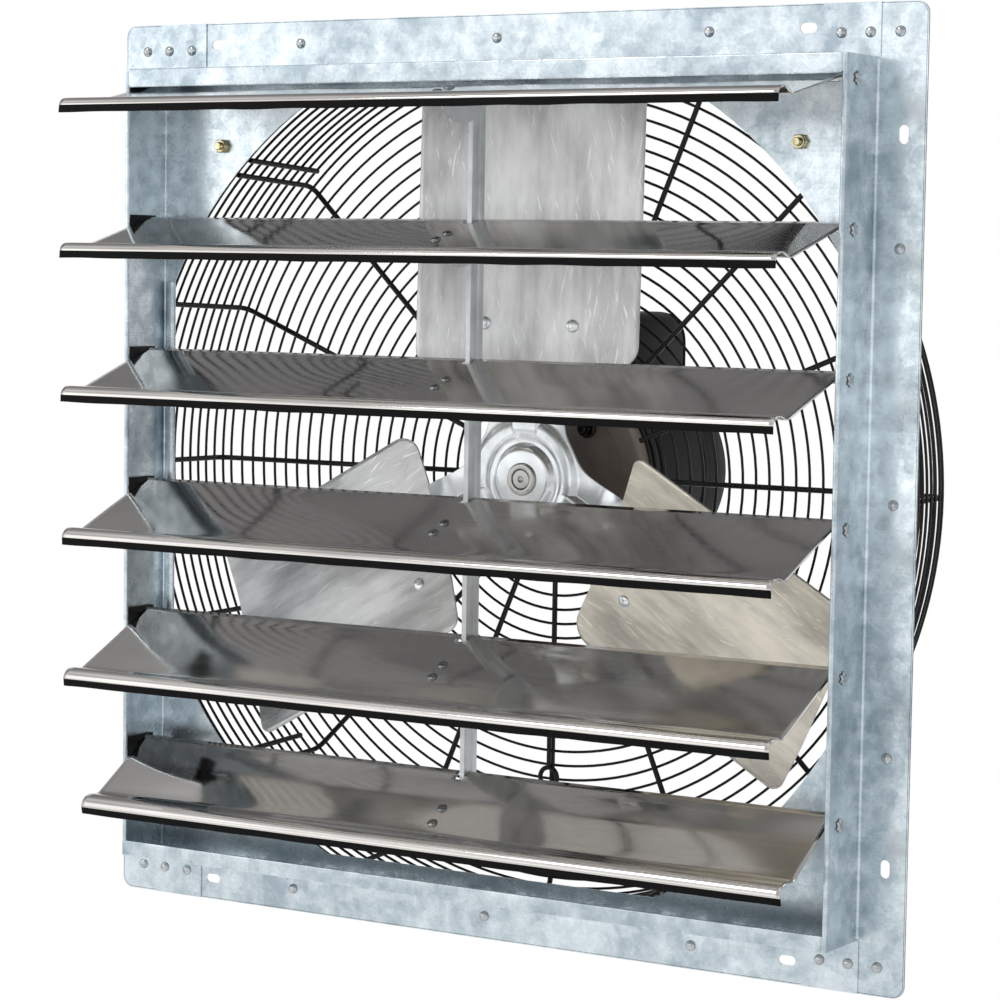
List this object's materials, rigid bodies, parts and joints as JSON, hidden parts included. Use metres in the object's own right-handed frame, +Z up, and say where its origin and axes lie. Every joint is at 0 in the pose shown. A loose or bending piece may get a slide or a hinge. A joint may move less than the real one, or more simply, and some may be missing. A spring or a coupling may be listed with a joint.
{
  "type": "gable mount shutter fan",
  "caption": "Gable mount shutter fan: a galvanised box with linked self-closing louvers, a bladed fan, and a wire guard that carries its motor.",
  "frame": {"origin": "centre of the flange's front face, in the middle of the pattern of mounting slots", "axes": "+X to the right seen from the louvers, +Y from the louvers towards the motor, +Z up"},
  "size_m": [0.69, 0.3846, 0.69],
  "materials": {
    "galvanised_sheet": "galvanised, lightly spangled",
    "aluminium_sheet": "mill finish",
    "zinc_steel": "bright zinc plate",
    "yellow_zinc": "yellow passivated zinc",
    "black_wire_coat": "gloss black",
    "seal_rubber": "matt black",
    "black_nylon": "matt black",
    "black_enamel": "satin black",
    "taupe_enamel": "satin taupe",
    "ground_steel": "ground",
    "core_iron": "laminated"
  },
  "bodies": {
    "frame": {"left_side_frame": "galvanised_sheet", "right_side_frame": "galvanised_sheet", "top_frame": "galvanised_sheet", "bottom_frame": "galvanised_sheet", "venturi_panel": "galvanised_sheet", "corner_rivets": "zinc_steel", "flange_rivets": "zinc_steel", "left_pivot_plates": "black_nylon", "right_pivot_plates": "black_nylon", "guard_side_rings": "black_wire_coat", "guard_back_rings": "black_wire_coat", "guard_radials": "black_wire_coat", "guard_feet": "black_wire_coat", "guard_bolts": "yellow_zinc", "guard_nuts": "yellow_zinc", "motor_front_bell": "taupe_enamel", "motor_shell": "black_enamel", "motor_rear_bell": "black_enamel", "motor_stator": "core_iron", "front_bearing": "ground_steel", "rear_bearing": "ground_steel", "motor_mount_nuts": "zinc_steel", "junction_box": "black_enamel", "junction_box_cover": "black_enamel", "cable_gland": "black_nylon"},
    "fan": {"motor_shaft": "ground_steel", "motor_rotor": "core_iron", "hub_spider": "zinc_steel", "hub_collar": "zinc_steel", "hub_set_screw": "ground_steel", "fan_blade_1": "aluminium_sheet", "fan_blade_2": "aluminium_sheet", "fan_blade_3": "aluminium_sheet", "blade_rivets": "zinc_steel"},
    "shutter_1": {"louver_1": "aluminium_sheet", "louver_seal_1": "seal_rubber", "louver_pins_1": "zinc_steel", "louver_arm_1": "aluminium_sheet"},
    "shutter_2": {"louver_2": "aluminium_sheet", "louver_seal_2": "seal_rubber", "louver_pins_2": "zinc_steel", "louver_arm_2": "aluminium_sheet"},
    "shutter_3": {"louver_3": "aluminium_sheet", "louver_seal_3": "seal_rubber", "louver_pins_3": "zinc_steel", "louver_arm_3": "aluminium_sheet"},
    "shutter_4": {"louver_4": "aluminium_sheet", "louver_seal_4": "seal_rubber", "louver_pins_4": "zinc_steel", "louver_arm_4": "aluminium_sheet"},
    "shutter_5": {"louver_5": "aluminium_sheet", "louver_seal_5": "seal_rubber", "louver_pins_5": "zinc_steel", "louver_arm_5": "aluminium_sheet"},
    "shutter_6": {"louver_6": "aluminium_sheet", "louver_seal_6": "seal_rubber", "louver_pins_6": "zinc_steel", "louver_arm_6": "aluminium_sheet"},
    "linkage": {"tie_bar": "aluminium_sheet"}
  },
  "joints": [
    {"name": "fan_spin", "type": "hinge", "parent": "frame", "child": "fan", "pos_m": [0, 0.1, 0], "axis": [0, 1, 0], "continuous": true},
    {"name": "louver_1_swing", "type": "hinge", "parent": "frame", "child": "shutter_1", "pos_m": [0, -0.0323, 0.2914], "axis": [1, 0, 0], "range_deg": [-6.98, 75.51]},
    {"name": "louver_2_swing", "type": "hinge", "parent": "frame", "child": "shutter_2", "pos_m": [0, -0.0323, 0.18894], "axis": [1, 0, 0], "range_deg": [-6.66, 72.01]},
    {"name": "louver_3_swing", "type": "hinge", "parent": "frame", "child": "shutter_3", "pos_m": [0, -0.0323, 0.08648], "axis": [1, 0, 0], "range_deg": [-6.34, 68.51]},
    {"name": "louver_4_swing", "type": "hinge", "parent": "frame", "child": "shutter_4", "pos_m": [0, -0.0323, -0.01598], "axis": [1, 0, 0], "range_deg": [-6, 65]},
    {"name": "louver_5_swing", "type": "hinge", "parent": "frame", "child": "shutter_5", "pos_m": [0, -0.0323, -0.11844], "axis": [1, 0, 0], "range_deg": [-5.69, 61.51]},
    {"name": "louver_6_swing", "type": "hinge", "parent": "frame", "child": "shutter_6", "pos_m": [0, -0.0323, -0.2209], "axis": [1, 0, 0], "range_deg": [-4.31, 46.51]},
    {"name": "tie_bar_pivot", "type": "hinge", "parent": "shutter_4", "child": "linkage", "pos_m": [0, -0.02139, -0.03059], "axis": [1, 0, 0], "range_deg": [-65.01, 6.01]}
  ],
  "couplings": [
    {"joint": "louver_1_swing", "follows": "louver_4_swing", "ratio": 1.1615},
    {"joint": "louver_2_swing", "follows": "louver_4_swing", "ratio": 1.1077},
    {"joint": "louver_3_swing", "follows": "louver_4_swing", "ratio": 1.0538},
    {"joint": "louver_5_swing", "follows": "louver_4_swing", "ratio": 0.94615},
    {"joint": "louver_6_swing", "follows": "louver_4_swing", "ratio": 0.71539},
    {"joint": "tie_bar_pivot", "follows": "louver_4_swing", "ratio": -1}
  ]
}
